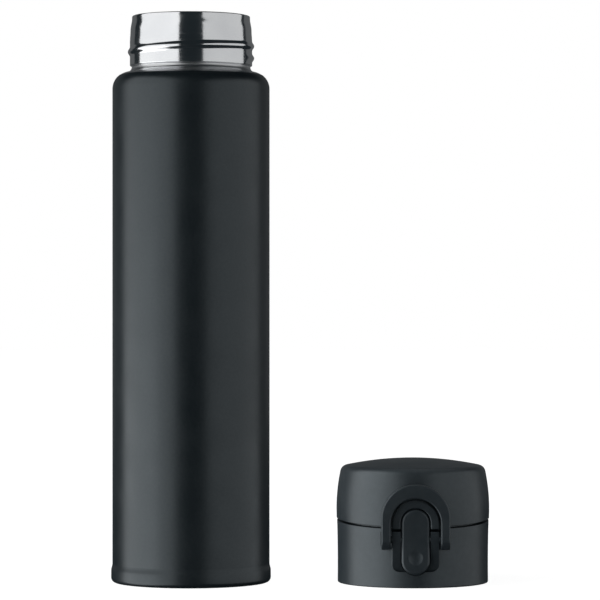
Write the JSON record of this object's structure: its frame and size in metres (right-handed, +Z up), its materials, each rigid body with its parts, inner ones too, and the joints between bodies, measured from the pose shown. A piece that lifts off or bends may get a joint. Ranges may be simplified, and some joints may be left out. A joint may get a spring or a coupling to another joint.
{
  "type": "vacuum flask",
  "caption": "Slim double-walled vacuum flask, open, with its one-touch flip lid standing beside it: push button, safety ring and screw collar.",
  "frame": {"origin": "centre of the bottle's flat underside, on the surface the flask stands on", "axes": "+Z up along the bottle's axis; -Y is the side with the push button; +X runs from the bottle to the lid unit standing beside it"},
  "size_m": [0.1565, 0.0726, 0.234],
  "materials": {
    "powder_coat": "fine matte powder coat; the neck above the shoulder is bare polished steel",
    "steel": "polished stainless steel",
    "foil": "bright foil",
    "seal_glass": "fused sealing glass",
    "getter_metal": "dull sintered metal",
    "lid_plastic": "fine matte moulded plastic",
    "liner_plastic": "smooth moulded plastic",
    "silicone": "translucent grey silicone",
    "spring_steel": "drawn spring wire"
  },
  "bodies": {
    "bottle": {"outer_shell": "powder_coat", "inner_vessel": "steel", "inner_bottom": "steel", "radiation_foil": "foil", "outer_bottom": "steel", "vacuum_seal": "seal_glass", "getter": "getter_metal", "foot_cup": "powder_coat"},
    "lid": {"lid_base": "lid_plastic", "spout": "liner_plastic", "bottle_gasket": "silicone", "hinge_pin": "steel", "hinge_spring": "spring_steel", "button_spring": "spring_steel", "pivot_pin": "steel"},
    "cover": {"cover_shell": "lid_plastic", "cover_liner": "liner_plastic", "spout_gasket": "silicone"},
    "button": {"push_button": "lid_plastic"},
    "ring": {"lock_ring": "lid_plastic"}
  },
  "joints": [
    {"name": "lid_lift", "type": "slide", "parent": "bottle", "child": "lid", "axis": [0, 0, 1], "range_m": [0, 0.25]},
    {"name": "cover_hinge", "type": "hinge", "parent": "lid", "child": "cover", "pos_m": [0.0918, 0.0342, 0.0296], "axis": [-1, 0, 0], "range_deg": [0, 120], "deforming": ["hinge_spring"]},
    {"name": "ring_pivot", "type": "hinge", "parent": "lid", "child": "ring", "pos_m": [0.0918, -0.0314, 0.0198], "axis": [1, 0, 0], "range_deg": [0, 120]},
    {"name": "button_rock", "type": "hinge", "parent": "lid", "child": "button", "pos_m": [0.0918, -0.0314, 0.0198], "axis": [1, 0, 0], "range_deg": [0, 6], "stiffness_Nm_per_rad": 0.15, "deforming": ["button_spring"]}
  ]
}
